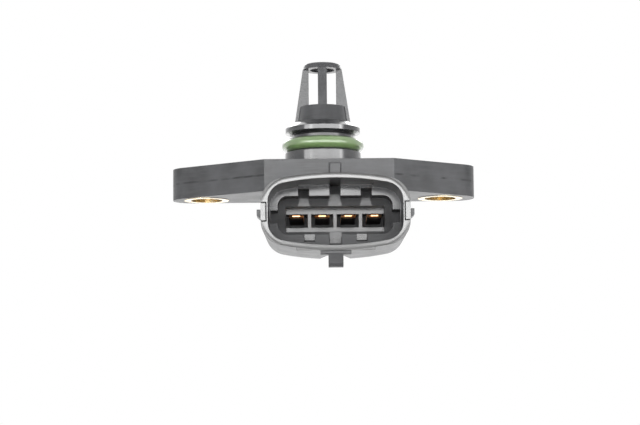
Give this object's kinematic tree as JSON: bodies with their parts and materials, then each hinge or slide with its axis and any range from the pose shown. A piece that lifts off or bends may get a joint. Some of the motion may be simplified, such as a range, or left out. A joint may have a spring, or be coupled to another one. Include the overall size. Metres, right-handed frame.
{
  "type": "manifold pressure and temperature sensor",
  "caption": "Flange-mounted intake manifold pressure and temperature sensor: slotted, ring-sealed port on one side, keyed electrical socket on the other, bushed screw holes in both ears.",
  "frame": {"origin": "where the port's axis meets the flange's seat face, midway between the screw holes", "axes": "+Z along the port, into the manifold; +X from one screw hole to the other; -Y out of the electrical socket"},
  "size_m": [0.0622, 0.046, 0.0451],
  "materials": {
    "housing_plastic": "dark grey glass-filled plastic with a soft sheen",
    "cover_plastic": "dark grey moulded plastic",
    "cover_adhesive": "cured dark adhesive",
    "ring_rubber": "green elastomer with a soft sheen",
    "bushing_brass": "turned brass",
    "contact_metal": "gold-plated copper alloy",
    "board_laminate": "green lacquered laminate",
    "cell_metal": "pressed steel frame",
    "pedestal_glass": "clear glass",
    "silicon": "polished silicon",
    "gel": "soft clear silicone gel",
    "bond_silicone": "cured silicone adhesive",
    "chip_package": "black moulded package",
    "capacitor_ceramic": "fired ceramic",
    "resistor_ceramic": "lacquered ceramic",
    "bead_glass": "dark glossy coating",
    "lead_wire": "tinned wire",
    "lead_compound": "cured sealing compound"
  },
  "bodies": {
    "root": {"housing": "housing_plastic", "rear_cover": "cover_plastic", "cover_seal": "cover_adhesive", "port_o_ring": "ring_rubber", "bushing_left": "bushing_brass", "bushing_right": "bushing_brass", "contact_pin_1": "contact_metal", "contact_pin_2": "contact_metal", "contact_pin_3": "contact_metal", "contact_pin_4": "contact_metal", "circuit_board": "board_laminate", "chamber_bond": "bond_silicone", "cell_frame": "cell_metal", "glass_pedestal": "pedestal_glass", "pressure_chip": "silicon", "cell_gel": "gel", "signal_chip": "chip_package", "capacitor_1": "capacitor_ceramic", "capacitor_2": "capacitor_ceramic", "capacitor_3": "capacitor_ceramic", "capacitor_4": "capacitor_ceramic", "resistor_1": "resistor_ceramic", "resistor_2": "resistor_ceramic", "thermistor_bead": "bead_glass", "thermistor_lead_left": "lead_wire", "thermistor_lead_right": "lead_wire", "lead_seal": "lead_compound"}
  },
  "joints": []
}
